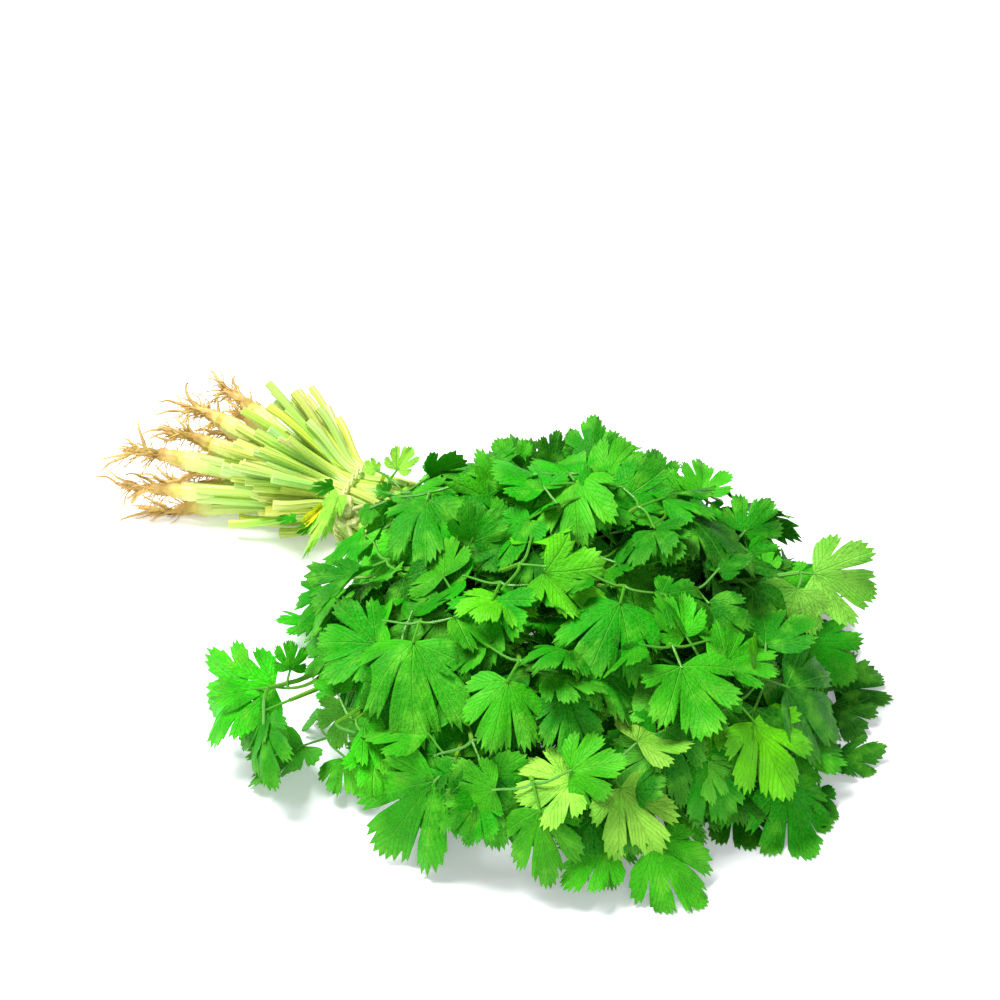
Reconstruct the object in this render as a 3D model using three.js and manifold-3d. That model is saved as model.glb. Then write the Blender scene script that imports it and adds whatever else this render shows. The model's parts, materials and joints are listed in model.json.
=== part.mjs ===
// A bunch of fresh coriander with its roots, tied at the neck and lying on its side.
// Millimetres, +Z up, resting on z = 0. +X runs from the roots to the leaves.
// Every plant is one root and one leafy shoot; a few cut stalks have no root.
import * as THREE from "three";
import { mergeVertices } from "three/addons/utils/BufferGeometryUtils.js";
import Module from "manifold-3d";

const wasm = await Module();
wasm.setup();

// Driving dimensions of the tied bundle
const NECK_HEIGHT = 17; // the bundle's axis above the table at the tie
const STALK_PITCH = 3.45; // between neighbouring stalks under the tie
const STALK_RADIUS = { foot: 2.1, neck: 1.35, leaf: 0.75 };
const STALK_SIDES = 5;
const ROOT_BEND = 22; // degrees that the root end turns aside from the leaves' axis
// How the bundle opens towards the roots: how much wider and taller it is at the reference distance
const ROOT_END = { spread: 1.25, lift: 0.85, climb: 0.02, reference: 60 };
const PLANTS = { layers: 3, abreast: 4 }; // roots in the bundle's section

// Driving dimensions of the mound of leaves: the centre is measured from the tie
const MOUND = { centre: 118, length: 116, breadth: 118, height: 84 };
const FILL_SPRIGS = 24; // sprigs spread evenly over the mound behind the placed ones
const SPRIG_CLEARANCE = 25; // a fill sprig keeps this far from a placed one
const BLADE = 0.7; // thickness of a leaf blade
const GAP = 0.3; // between pieces that touch
const CLEAR = 0.14; // each piece's share of the gap to its neighbours
const COLLAR = { behind: 7, radii: [4.9, 3.9], sides: 7 }; // where a plant's stalks meet its root
const TIE = { thick: 1.4, wide: 2.6, slack: 0.9 };
const KNOT = { side: 152, ahead: 3.2, long: 7, across: 3.4, deep: 4 }; // side: degrees round from +Y

// Sprigs that shape the bunch's outline. Bearing is round the mound from straight ahead, rise is above the
// table, turn is the leaf's turn from hanging straight down, all in degrees; reach is a share of the mound.
const PLACED_SPRIGS = [
  { bearing: -80, rise: 51, turn: 30, size: 34, reach: 1.0 },
  { bearing: -51, rise: 49, turn: -15, size: 27, reach: 1.0 },
  { bearing: -27, rise: 27, turn: 20, size: 28, reach: 1.0 },
  { bearing: -6, rise: 47, turn: -20, size: 30, reach: 1.0 },
  { bearing: -44, rise: 73, turn: 70, size: 27, reach: 1.0 },
  { bearing: -13, rise: 63, turn: -40, size: 30, reach: 1.0 },
  { bearing: -143, rise: 67, turn: 105, size: 30, reach: 1.0 },
  { bearing: -61, rise: 30, turn: -25, size: 31, reach: 1.0 },
  { bearing: -86, rise: 27, turn: -15, size: 31, reach: 1.0 },
  { bearing: 4, rise: 30, turn: 0, size: 30, reach: 1.0 },
  { bearing: 7, rise: 12, turn: -10, size: 30, reach: 1.0 },
  { bearing: -17, rise: 32, turn: -65, size: 22, reach: 0.96 },
  { bearing: 44, rise: 43, turn: 30, size: 33, reach: 1.0 },
  { bearing: 16, rise: 31, turn: 43, size: 34, reach: 1.0 },
  { bearing: 153, rise: 86, turn: 20, size: 28, reach: 1.0 },
  { bearing: 107, rise: 82, turn: -140, size: 27, reach: 1.0 },
  { bearing: 110, rise: 78, turn: 32, size: 30, reach: 1.02 },
  { bearing: 62, rise: 69, turn: 14, size: 25, reach: 1.0 },
  { bearing: 51, rise: 64, turn: -25, size: 28, reach: 1.0 },
  { bearing: -104, rise: 24, turn: -60, size: 30, reach: 1.0 },
  { bearing: -100, rise: 25, turn: -34, size: 28, reach: 1.06 },
  { bearing: -22, rise: 12, turn: 35, size: 26, reach: 1.0 },
  { bearing: -32, rise: 20, turn: 8, size: 24, reach: 0.96 },
  { bearing: -36, rise: 46, turn: -5, size: 23, reach: 0.96 },
  { bearing: -65, rise: 65, turn: 10, size: 25, reach: 0.96 },
  { bearing: -116, rise: 53, turn: 15, size: 26, reach: 0.98 },
  { bearing: -91, rise: 46, turn: -52, size: 26, reach: 0.96 },
  { bearing: 7, rise: 43, turn: 70, size: 25, reach: 0.98 },
  { bearing: -42, rise: 21, turn: 15, size: 26, reach: 1.0 },
  { bearing: 23, rise: 5, turn: 55, size: 22, reach: 1.0 },
  { bearing: -160, rise: 57, turn: 150, size: 24, reach: 0.94 },
  { bearing: -54, rise: 31, turn: 35, size: 24, reach: 0.96 },
  { bearing: -8, rise: 28, turn: 0, size: 27, reach: 0.96 },
  { bearing: -160, rise: 38, turn: 40, size: 28, reach: 0.8 },
  { bearing: 165, rise: 45, turn: 20, size: 26, reach: 0.84 },
];

// The same numbers for the same seed every time, each from 0 to 1.
function seeded(seed) {
  let state = seed >>> 0;
  return () => {
    state = (state + 0x6d2b79f5) >>> 0;
    let t = state;
    t = Math.imul(t ^ (t >>> 15), t | 1);
    t ^= t + Math.imul(t ^ (t >>> 7), t | 61);
    return ((t ^ (t >>> 14)) >>> 0) / 4294967296;
  };
}

const radians = (degrees) => (degrees * Math.PI) / 180;
const EVEN_STEPS = [0.7548776662, 0.569840291]; // steps that fill a square evenly
const UP = new THREE.Vector3(0, 0, 1);
const NECK = new THREE.Vector3(0, 0, NECK_HEIGHT);

// A weighted sum of vectors: sum([1, a], [2, b]) is a + 2 b.
function sum(...terms) {
  const total = new THREE.Vector3();
  for (const [weight, vector] of terms) total.addScaledVector(vector, weight);
  return total;
}

function onMound(bearing, rise, reach) {
  const b = radians(bearing);
  const r = radians(rise);
  return new THREE.Vector3(
    MOUND.centre + MOUND.length * reach * Math.cos(r) * Math.cos(b),
    MOUND.breadth * reach * Math.cos(r) * Math.sin(b),
    MOUND.height * reach * Math.sin(r),
  );
}

function moundNormal(point) {
  return new THREE.Vector3(
    (point.x - MOUND.centre) / MOUND.length ** 2,
    point.y / MOUND.breadth ** 2,
    point.z / MOUND.height ** 2,
  ).normalize();
}

// The placed sprigs, then evenly spread ones that stay clear of them, in an outer and an inner layer.
function allSprigs() {
  const sprigs = PLACED_SPRIGS.map((s, i) => ({ ...s, seed: 100 + i, leaflets: 3 }));
  const placed = sprigs.map((s) => onMound(s.bearing, s.rise, s.reach));
  for (let i = 0, made = 0; made < FILL_SPRIGS; i += 1) {
    const draw = seeded(500 + i);
    const rise = (Math.asin(0.06 + 0.92 * (((i + 0.5) * EVEN_STEPS[0]) % 1)) * 180) / Math.PI;
    const bearing = 360 * (((i + 0.5) * EVEN_STEPS[1]) % 1) - 180;
    const inner = i % 4 === 3;
    const reach = inner ? 0.62 + 0.12 * draw() : 0.86 + 0.1 * draw();
    const turn = (draw() - 0.5) * 120;
    const size = 24 + 5 * draw();
    if (Math.abs(bearing) > 145 && rise < 38) continue; // the neck comes in here
    if (bearing > -75 && bearing < -12 && rise < 24) continue; // the near side is open below
    const point = onMound(bearing, rise, reach);
    if (!inner && placed.some((p) => p.distanceTo(point) < SPRIG_CLEARANCE)) continue;
    placed.push(point);
    sprigs.push({ bearing, rise, turn, size, reach, seed: 500 + i, leaflets: inner ? 1 : 3 });
    made += 1;
  }
  return sprigs;
}

// Stalks stand in a close-packed pattern under the tie. Each is given as an offset across the bundle.
function neckPattern(count) {
  const spots = [];
  for (let row = -8; row <= 8; row += 1)
    for (let column = -8; column <= 8; column += 1)
      spots.push({
        across: STALK_PITCH * (column + 0.5 * (Math.abs(row) % 2)),
        high: STALK_PITCH * row * Math.sqrt(0.75),
      });
  const away = (s) => Math.hypot(s.across - 0.6, s.high - 0.4);
  const nearest = spots.sort((a, b) => away(a) - away(b)).slice(0, count);
  const mean = (key) => nearest.reduce((total, s) => total + s[key], 0) / count;
  const middle = { across: mean("across"), high: mean("high") };
  return nearest.map((s) => ({ across: s.across - middle.across, high: s.high - middle.high }));
}

// Gives every sprig the spot under the tie that lies its way, leaves far off the axis outermost. Two sprigs
// swap spots wherever that brings both nearer to the places they want, so that stalks don't cross.
function assignSpots(sprigs, spots) {
  const widest = Math.max(...spots.map((s) => Math.hypot(s.across, s.high)));
  const wants = sprigs.map((sprig) => {
    const base = onMound(sprig.bearing, sprig.rise, sprig.reach);
    const high = Math.max(base.z - 6, 0);
    const side = Math.atan2(high, base.y) - Math.PI / 2;
    return { sprig, round: Math.PI / 2 + 1.8 * side, off: Math.atan2(Math.hypot(base.y, high), base.x + 10) };
  });
  wants.sort((a, b) => a.off - b.off);
  wants.forEach((want, i) => {
    const out = widest * Math.sqrt((i + 0.5) / wants.length);
    want.across = out * Math.cos(want.round);
    want.high = out * Math.sin(want.round);
    want.sprig.spot = spots[i];
  });
  const miss = (want, spot) => (want.across - spot.across) ** 2 + (want.high - spot.high) ** 2;
  for (let better = true; better; ) {
    better = false;
    for (const a of wants)
      for (const b of wants) {
        const now = miss(a, a.sprig.spot) + miss(b, b.sprig.spot);
        const swapped = miss(a, b.sprig.spot) + miss(b, a.sprig.spot);
        if (swapped > now - 0.001) continue;
        [a.sprig.spot, b.sprig.spot] = [b.sprig.spot, a.sprig.spot];
        better = true;
      }
  }
}

const rootHeading = new THREE.Vector3(-Math.cos(radians(ROOT_BEND)), -Math.sin(radians(ROOT_BEND)), 0);
const rootAcross = new THREE.Vector3(rootHeading.y, -rootHeading.x, 0);
const neckHeading = sum([1, new THREE.Vector3(1, 0, 0)], [-1, rootHeading]).normalize();
const neckAcross = new THREE.Vector3().crossVectors(UP, neckHeading);

const atNeck = (spot) => sum([1, NECK], [spot.across, neckAcross], [spot.high, UP]);

// A place in the bundle's root end, so far behind the tie, for a spot under the tie.
function atRootEnd(spot, behind) {
  const opened = behind / ROOT_END.reference;
  return sum(
    [1, NECK],
    [behind, rootHeading],
    [spot.across * (1 + ROOT_END.spread * opened), rootAcross],
    [spot.high * (1 + ROOT_END.lift * opened) + behind * ROOT_END.climb, UP],
  );
}

// The frame that a leaf lies in: where it starts, the way its rib points, its left and its upper face.
// A leaf near the table lies flatter, so that it comes to rest on it.
function leafFrame(sprig, nudge) {
  const foot = onMound(sprig.bearing, sprig.rise, sprig.reach);
  foot.z = Math.max(foot.z, 3);
  const low = Math.max(0, 1 - foot.z / 34);
  const normal = sum([1 - low, moundNormal(foot)], [0.2 + 2 * low, UP]).normalize();
  const outward = moundNormal(foot).setZ(0);
  const down = sum([-1, UP], [0.3 + low, outward]);
  down.addScaledVector(normal, -down.dot(normal)).normalize();
  const along = down.applyAxisAngle(normal, radians(sprig.turn + nudge.yaw));
  const left = new THREE.Vector3().crossVectors(normal, along).normalize();
  along.applyAxisAngle(left, -radians(14 * (1 - low) + nudge.pitch));
  along.z = Math.max(along.z, (1.5 - foot.z) / (1.1 * sprig.size));
  along.normalize();
  left.addScaledVector(along, -left.dot(along)).normalize();
  left.applyAxisAngle(along, radians(nudge.roll * (1 - low)));
  const face = new THREE.Vector3().crossVectors(along, left).normalize();
  const base = sum([1, foot], [-END_FOOT, along], [-nudge.sink, moundNormal(foot)]);
  base.z = Math.max(base.z, 2.2);
  return { base, along, left, face };
}

// A leaflet's outline round its foot: three lobes with teeth. Degrees from its axis, and a share of its size.
const END_LEAFLET = [
  [-112, 0.07], [-82, 0.68], [-62, 0.9], [-51, 0.78], [-37, 0.98], [-25, 0.5], [-14, 1.04], [0, 0.9],
  [14, 1.04], [25, 0.5], [37, 0.98], [51, 0.78], [62, 0.9], [82, 0.68], [112, 0.07],
];
const SIDE_LEAFLET = [
  [-112, 0.07], [-76, 0.74], [-56, 0.84], [-36, 0.98], [-25, 0.5], [-13, 1.03], [13, 1.03],
  [25, 0.5], [36, 0.98], [56, 0.84], [76, 0.74], [112, 0.07],
];
const SIDE = { angle: 92, foot: 13, share: 0.8 };
const END_FOOT = 10;

function leafOutline(size, leaflets) {
  const leaflet = (outline, angle, foot, reach) =>
    outline.map(([turn, share]) => {
      const a = radians(angle);
      const b = radians(angle + turn);
      return new THREE.Vector2(
        foot * Math.cos(a) + reach * share * Math.cos(b),
        foot * Math.sin(a) + reach * share * Math.sin(b),
      );
    });
  const end = leaflet(END_LEAFLET, 0, END_FOOT, size);
  if (leaflets === 1) return [new THREE.Vector2(-1.5, -0.8), ...end, new THREE.Vector2(-1.5, 0.8)];
  const right = leaflet(SIDE_LEAFLET, -SIDE.angle, SIDE.foot, SIDE.share * size);
  const left = leaflet(SIDE_LEAFLET, SIDE.angle, SIDE.foot, SIDE.share * size);
  const fork = (side) => new THREE.Vector2(1.6, side);
  return [...right, fork(-0.9), ...end, fork(0.9), ...left, new THREE.Vector2(-1.2, 0)];
}

function solidOf(geometry) {
  const bare = new THREE.BufferGeometry().setAttribute("position", geometry.getAttribute("position"));
  if (geometry.index) bare.setIndex(geometry.index);
  const merged = mergeVertices(bare, 1e-4);
  return new wasm.Manifold(
    new wasm.Mesh({
      numProp: 3,
      vertProperties: new Float32Array(merged.attributes.position.array),
      triVerts: new Uint32Array(merged.index.array),
    }),
  );
}

// Moves every vertex of a geometry to where place(x, y, z) puts it.
function reshape(geometry, place) {
  const position = geometry.getAttribute("position");
  for (let i = 0; i < position.count; i += 1) {
    const p = place(position.getX(i), position.getY(i), position.getZ(i));
    position.setXYZ(i, p.x, p.y, p.z);
  }
  return geometry;
}

// A leaf blade, drooping along its rib and over its sides, laid on the table where it would pass through it.
function bladeSolid(sprig, frame, thickness) {
  const draw = seeded(sprig.seed + 7000);
  const droop = 0.004 + 0.008 * draw();
  const fold = 0.003 + 0.006 * draw();
  const wave = { height: 0.8 + 1.2 * draw(), phase: 6 * draw() };
  const outline = leafOutline(sprig.size, sprig.leaflets);
  const flat = new THREE.ExtrudeGeometry(new THREE.Shape(outline), { depth: thickness, bevelEnabled: false });
  return solidOf(
    reshape(flat, (x, y, z) => {
      const sag = -droop * x * x - fold * y * y;
      const ripple = wave.height * Math.sin(0.2 * x + wave.phase) * Math.sin(0.15 * y);
      const level = sag + ripple * Math.min(1, Math.hypot(x, y) / 12) + z - thickness / 2;
      const p = sum([1, frame.base], [x, frame.along], [y, frame.left], [level, frame.face]);
      p.z = Math.max(p.z, z);
      return p;
    }),
  );
}

// Points on a cubic curve from one point and heading to another.
function curvePoints(from, fromHeading, to, toHeading, pull, steps) {
  const length = from.distanceTo(to) * pull;
  const curve = new THREE.CubicBezierCurve3(
    from,
    sum([1, from], [length, fromHeading]),
    sum([1, to], [-length, toHeading]),
    to,
  );
  return curve.getPoints(steps);
}

// A closed round bar along a line of points, with a radius at each, made from a straight cylinder.
function barSolid(points, radii, sides) {
  const steps = points.length - 1;
  const straight = new THREE.CylinderGeometry(1, 1, steps, sides, steps, false);
  const frames = [];
  let across = new THREE.Vector3(0.1, 0.2, 1).normalize();
  points.forEach((p, i) => {
    const ahead = points[Math.min(i + 1, steps)];
    const behind = points[Math.max(i - 1, 0)];
    const heading = sum([1, ahead], [-1, behind]).normalize();
    across = sum([1, across], [-across.dot(heading), heading]).normalize();
    frames.push({ across, other: new THREE.Vector3().crossVectors(heading, across) });
  });
  return solidOf(
    reshape(straight, (x, y, z) => {
      const i = Math.round(y + steps / 2);
      return sum([1, points[i]], [z * radii[i], frames[i].across], [x * radii[i], frames[i].other]);
    }),
  );
}

const keepUp = (points, radii) => points.map((p, i) => p.setZ(Math.max(p.z, radii[i] + 0.2)));

// A stalk's line: from its foot to the tie, and from there into its leaf.
function stalkLine(sprig, frame, way) {
  const neck = atNeck(sprig.spot);
  const towards = sum([1, frame.base], [-1, neck]).normalize();
  const arrive = sum([0.3, frame.along], [0.6, moundNormal(frame.base)], [0.5, towards]).normalize();
  const aside = sum([way.lift, UP], [way.side, neckAcross]);
  const leave = sum([1, neckHeading], [way.straight, towards], [1, aside]).normalize();
  const under = sum([1, frame.base], [-STALK_RADIUS.leaf, frame.face]);
  const ahead = curvePoints(neck, leave, under, arrive, way.pull, 4);
  return [sprig.foot.clone(), ...ahead, sum([1, frame.base], [2.5, frame.along])];
}

function stalkRadii(extra) {
  const { foot, neck, leaf } = STALK_RADIUS;
  return [foot, neck, 1.25, 1.15, 1, leaf, 0.3].map((r) => r + extra);
}

const sprigs = allSprigs();
const spots = neckPattern(sprigs.length);
assignSpots(sprigs, spots);

// Neighbouring spots share a root: the bundle's section is divided into layers and each layer across.
// The outermost stalk of a group on the bundle's upper side was cut and has no root.
function groupPlants() {
  const divide = (list, key, parts) => {
    const sorted = [...list].sort((a, b) => a.spot[key] - b.spot[key]);
    const edge = (k) => Math.round((k * sorted.length) / parts);
    return Array.from({ length: parts }, (_, k) => sorted.slice(edge(k), edge(k + 1)));
  };
  const layers = divide(sprigs, "high", PLANTS.layers);
  const groups = layers.flatMap((layer) => divide(layer, "across", PLANTS.abreast));
  const out = (s) => Math.hypot(s.spot.across, s.spot.high);
  return groups.map((group) => {
    const [outermost, ...others] = group.sort((a, b) => out(b) - out(a));
    const free = outermost.spot.high > -3 && out(outermost) > 11;
    return free ? { cut: outermost, rooted: others } : { cut: null, rooted: group };
  });
}

const number = (i) => String(i + 1).padStart(2, "0");
const leafGreen = new THREE.MeshStandardMaterial({ color: 0x3fae2a, roughness: 0.5, metalness: 0 });
const stalkGreen = new THREE.MeshStandardMaterial({ color: 0xb9dc7a, roughness: 0.45, metalness: 0 });
const rootTan = new THREE.MeshStandardMaterial({ color: 0xc9a050, roughness: 0.8, metalness: 0 });
const tieStraw = new THREE.MeshStandardMaterial({ color: 0xb5c07a, roughness: 0.7, metalness: 0 });

// Pieces set down so far, to keep the next one clear of them.
const settled = [];

function apart(a, b) {
  return [0, 1, 2].some((k) => a.min[k] > b.max[k] || b.min[k] > a.max[k]);
}

// Whether a piece crosses one that is there; a stalk may cross those of its own plant.
function crossed(solid, plant) {
  const box = solid.boundingBox();
  const near = settled.filter((s) => !(plant && s.plant === plant) && !apart(s.box, box));
  return near.some((s) => !s.solid.intersect(solid).isEmpty());
}

const settle = (solid, plant) => settled.push({ solid, plant, box: solid.boundingBox() });

// Turns to try, mildest first, until a leaf lies clear of what is there.
const NUDGES = [];
for (const yaw of [0, 18, -18, 36, -36])
  for (const pitch of [0, 12, -10])
    for (const roll of [0, 16, -16])
      for (const sink of [0, 6, 13]) NUDGES.push({ yaw, pitch, roll, sink });
const strength = (n) => Math.abs(n.yaw) + 1.3 * Math.abs(n.pitch) + Math.abs(n.roll) + 3 * n.sink;
NUDGES.sort((a, b) => strength(a) - strength(b));

function meshOf(solid, name, material) {
  const made = solid.getMesh();
  const geometry = new THREE.BufferGeometry();
  geometry.setAttribute("position", new THREE.BufferAttribute(new Float32Array(made.vertProperties), 3));
  geometry.setIndex(new THREE.BufferAttribute(new Uint32Array(made.triVerts), 1));
  geometry.computeVertexNormals();
  const mesh = new THREE.Mesh(geometry, material);
  mesh.name = name;
  return mesh;
}

const bunch = new THREE.Group();
const groups = groupPlants();
const cutStalks = groups.map((g) => g.cut).filter(Boolean);
const plants = [
  ...groups.map(({ rooted }, i) => ({ stalks: rooted, hasRoot: true, seed: 40 + i })),
  ...cutStalks.map((sprig, i) => ({ stalks: [sprig], hasRoot: false, seed: 90 + i })),
];

// Where a plant's stalks end behind the tie: in their shared crown, or flared out at a cut.
for (const plant of plants) {
  const draw = seeded(plant.seed);
  const middle = { across: 0, high: 0 };
  for (const s of plant.stalks) {
    middle.across += s.spot.across / plant.stalks.length;
    middle.high += s.spot.high / plant.stalks.length;
  }
  const behind = plant.hasRoot ? 50 + 14 * draw() : 34 + 16 * draw();
  const flare = plant.hasRoot ? 0 : 1.35 + 0.2 * draw();
  plant.crown = atRootEnd(middle, behind);
  plant.crown.z = Math.max(plant.crown.z, 5.4);
  for (const s of plant.stalks) {
    const across = 0.8 * (s.spot.across - middle.across);
    const high = 0.8 * (s.spot.high - middle.high);
    s.foot = plant.hasRoot
      ? sum([1, plant.crown], [across, rootAcross], [high, UP])
      : atRootEnd({ across: flare * s.spot.across, high: flare * s.spot.high }, behind);
    s.plant = plant;
  }
  if (!plant.hasRoot) continue;
  plant.heading = sum([1, plant.crown], [-1, NECK]).normalize();
  const ends = [-2.5, COLLAR.behind].map((t) => sum([1, plant.crown], [t, plant.heading]));
  plant.collar = barSolid(ends, COLLAR.radii, COLLAR.sides);
  settle(barSolid(ends, COLLAR.radii.map((r) => r + CLEAR), COLLAR.sides), plant);
}

// The strand round the bundle, its knot and the two twisted ends, cut flat where it lies on the table.
function tieSolid() {
  const inner = Math.max(...spots.map((s) => Math.hypot(s.across, s.high))) + STALK_RADIUS.neck + TIE.slack;
  const { thick, wide } = TIE;
  const section = [
    [inner, -wide / 2], [inner + thick * 0.7, -wide / 2], [inner + thick, -wide / 4],
    [inner + thick, wide / 4], [inner + thick * 0.7, wide / 2], [inner, wide / 2], [inner, -wide / 2],
  ];
  const ring = new THREE.LatheGeometry(section.map(([r, y]) => new THREE.Vector2(r, y)), 30);
  const stand = (x, y, z) => sum([1, NECK], [y, neckHeading], [z, neckAcross], [x, UP]);
  const around = radians(KNOT.side);
  const outward = sum([Math.cos(around), neckAcross], [Math.sin(around), UP]);
  const sideways = new THREE.Vector3().crossVectors(neckHeading, outward);
  const knot = new THREE.SphereGeometry(1, 10, 7);
  const middle = sum([1, NECK], [KNOT.ahead, neckHeading], [inner + KNOT.deep - 0.4, outward]);
  const lump = (x, y, z) => {
    const twist = 1 + 0.12 * Math.sin(5 * y + 3 * x);
    return sum(
      [1, middle],
      [y * KNOT.long, neckHeading],
      [x * KNOT.across * twist, sideways],
      [z * KNOT.deep * twist, outward],
    );
  };
  const end = (turn, length) => {
    const heading = sum([1, neckHeading], [turn, sideways], [0.35, outward]).normalize();
    const line = [0, 0.5, 1].map((t) => sum([1, middle], [4 + length * t, heading], [-3 * t * t, outward]));
    return barSolid(keepUp(line, [1.2, 1, 0.7]), [1.2, 1, 0.7], 5);
  };
  const above = solidOf(new THREE.BoxGeometry(200, 200, 100).translate(0, 0, 50));
  return wasm.Manifold.union([
    solidOf(reshape(ring, stand)),
    solidOf(reshape(knot, lump)),
    end(0.9, 11),
    end(-0.7, 9),
  ]).intersect(above);
}

// A root's line: it wanders back from where it starts and sinks towards the table.
function rootLine(from, heading, length, draw) {
  const points = [from];
  let way = heading;
  for (let i = 0; i < 3; i += 1) {
    points.push(sum([1, points[i]], [length / 3, way]));
    const wander = new THREE.Vector3(draw() - 0.5, draw() - 0.5, draw() - 0.62);
    way = sum([1, way], [0.9, wander]).normalize();
  }
  return points;
}

// A tap root with its side roots.
function rootSolid(plant, spread, draw, extra) {
  const from = sum([1, plant.crown], [COLLAR.behind + GAP, plant.heading]);
  const radii = [3.7, 2.3, 1.4, 0.8].map((r) => r + extra);
  const tap = keepUp(rootLine(from, plant.heading, 24 + 10 * draw(), draw), radii);
  const parts = [barSolid(tap, radii, 6)];
  for (let k = 0; k < 3; k += 1) {
    const turn = 2 * Math.PI * (k / 3 + draw() / 4);
    const start = tap[0].clone().lerp(tap[2], 0.3 + 0.25 * k);
    const aside = sum([Math.cos(turn), rootAcross], [0.8 * Math.sin(turn), UP]);
    const heading = sum([1, plant.heading], [spread, aside]).normalize();
    const thin = [1.3, 1.1, 0.85, 0.5].map((r) => r + extra);
    const line = rootLine(start, heading, 16 + 11 * draw(), draw);
    parts.push(barSolid(keepUp(line, thin), thin, 4));
  }
  return wasm.Manifold.union(parts);
}

const tie = tieSolid();
settle(tie);

// Courses to try for a stalk, straightest first, until it passes clear of what is there.
const WAYS = [];
for (const pull of [0.34, 0.2, 0.46])
  for (const lift of [0, 0.1, -0.1, 0.2, -0.2])
    for (const side of [0, 0.1, -0.1, 0.2, -0.2])
      for (const straight of [0.3, 0.8, 1.6]) WAYS.push({ pull, lift, side, straight });
const detour = (w) => Math.abs(w.lift) + Math.abs(w.side);
const bend = (w) => Math.abs(w.pull - 0.34) + detour(w) + 0.1 * Math.abs(w.straight - 0.3);
WAYS.sort((a, b) => bend(a) - bend(b));
const WAYS_PER_TURN = 16;

// Sets down a sprig's stalk and leaf clear of all others, with fewer or smaller leaflets if need be.
function placeSprig(sprig) {
  const tail = barSolid([sprig.foot, atNeck(sprig.spot)], stalkRadii(CLEAR), STALK_SIDES);
  if (crossed(tail, sprig.plant)) return;
  for (const [leaflets, smaller] of [[3, 1], [3, 0.85], [1, 1], [1, 0.8]]) {
    if (leaflets > sprig.leaflets) continue;
    const sized = { ...sprig, leaflets, size: sprig.size * smaller };
    for (const nudge of NUDGES) {
      const frame = leafFrame(sized, nudge);
      const wideBlade = bladeSolid(sized, frame, BLADE + 0.4);
      if (crossed(wideBlade)) continue;
      for (const way of WAYS.slice(0, WAYS_PER_TURN)) {
        const line = keepUp(stalkLine(sprig, frame, way), stalkRadii(0));
        const wideStalk = barSolid(line, stalkRadii(CLEAR), STALK_SIDES);
        if (crossed(wideStalk, sprig.plant)) continue;
        settle(wideStalk, sprig.plant);
        settle(wideBlade);
        sprig.solids = [barSolid(line, stalkRadii(0), STALK_SIDES), bladeSolid(sized, frame, BLADE)];
        return;
      }
    }
  }
}
sprigs.forEach(placeSprig);

// A root spreads less and less until it is clear of its neighbours.
for (const plant of plants.filter((p) => p.hasRoot))
  for (let attempt = 0; !plant.root; attempt += 1) {
    const spread = 0.9 * 0.94 ** attempt;
    const seed = 3000 + 50 * plant.seed + attempt;
    const test = rootSolid(plant, spread, seeded(seed), CLEAR);
    if (crossed(test)) continue;
    plant.root = rootSolid(plant, spread, seeded(seed), 0);
    settle(test);
  }

// One node for each root, each leafy shoot and each cut stalk that found its place.
const solidsOf = (plant) => plant.stalks.flatMap((s) => s.solids ?? []);
plants
  .filter((p) => p.hasRoot)
  .forEach((plant, i) => {
    bunch.add(meshOf(plant.root, `plant_${number(i)}_root`, rootTan));
    const shoot = wasm.Manifold.union([plant.collar, ...solidsOf(plant)]);
    bunch.add(meshOf(shoot, `plant_${number(i)}_shoot`, leafGreen));
  });
plants
  .filter((p) => !p.hasRoot && solidsOf(p).length > 0)
  .forEach((plant, i) => {
    bunch.add(meshOf(wasm.Manifold.union(solidsOf(plant)), `cut_stalk_${number(i)}`, stalkGreen));
  });
bunch.add(meshOf(tie, "tie", tieStraw));

// The middle of the bunch's footprint is the origin.
const box = new THREE.Box3().setFromObject(bunch);
const centre = box.getCenter(new THREE.Vector3());
bunch.children.forEach((mesh) => mesh.geometry.translate(-centre.x, -centre.y, -box.min.z));

export default bunch;
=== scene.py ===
import json
import math

import bpy
import numpy as np
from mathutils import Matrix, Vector


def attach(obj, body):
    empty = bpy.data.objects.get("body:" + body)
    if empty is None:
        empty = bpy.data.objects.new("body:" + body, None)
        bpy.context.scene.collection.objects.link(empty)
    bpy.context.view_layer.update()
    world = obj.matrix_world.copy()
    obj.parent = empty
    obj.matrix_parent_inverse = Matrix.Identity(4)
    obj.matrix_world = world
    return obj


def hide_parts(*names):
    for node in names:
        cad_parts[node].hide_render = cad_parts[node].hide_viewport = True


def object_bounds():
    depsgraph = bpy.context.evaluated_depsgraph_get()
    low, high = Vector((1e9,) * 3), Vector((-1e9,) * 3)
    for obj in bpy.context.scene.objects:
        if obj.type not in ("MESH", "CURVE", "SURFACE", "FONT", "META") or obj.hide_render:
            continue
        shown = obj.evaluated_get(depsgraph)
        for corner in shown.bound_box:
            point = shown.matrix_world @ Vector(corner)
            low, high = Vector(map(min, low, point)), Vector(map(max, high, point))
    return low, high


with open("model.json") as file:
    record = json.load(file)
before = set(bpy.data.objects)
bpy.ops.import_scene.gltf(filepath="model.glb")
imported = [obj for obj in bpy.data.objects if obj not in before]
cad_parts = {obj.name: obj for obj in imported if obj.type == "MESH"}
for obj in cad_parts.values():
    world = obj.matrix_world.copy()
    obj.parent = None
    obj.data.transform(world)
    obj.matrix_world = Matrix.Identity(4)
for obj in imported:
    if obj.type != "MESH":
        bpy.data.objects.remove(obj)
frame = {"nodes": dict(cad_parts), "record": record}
frame_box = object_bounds()
MM = 0.001

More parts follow.
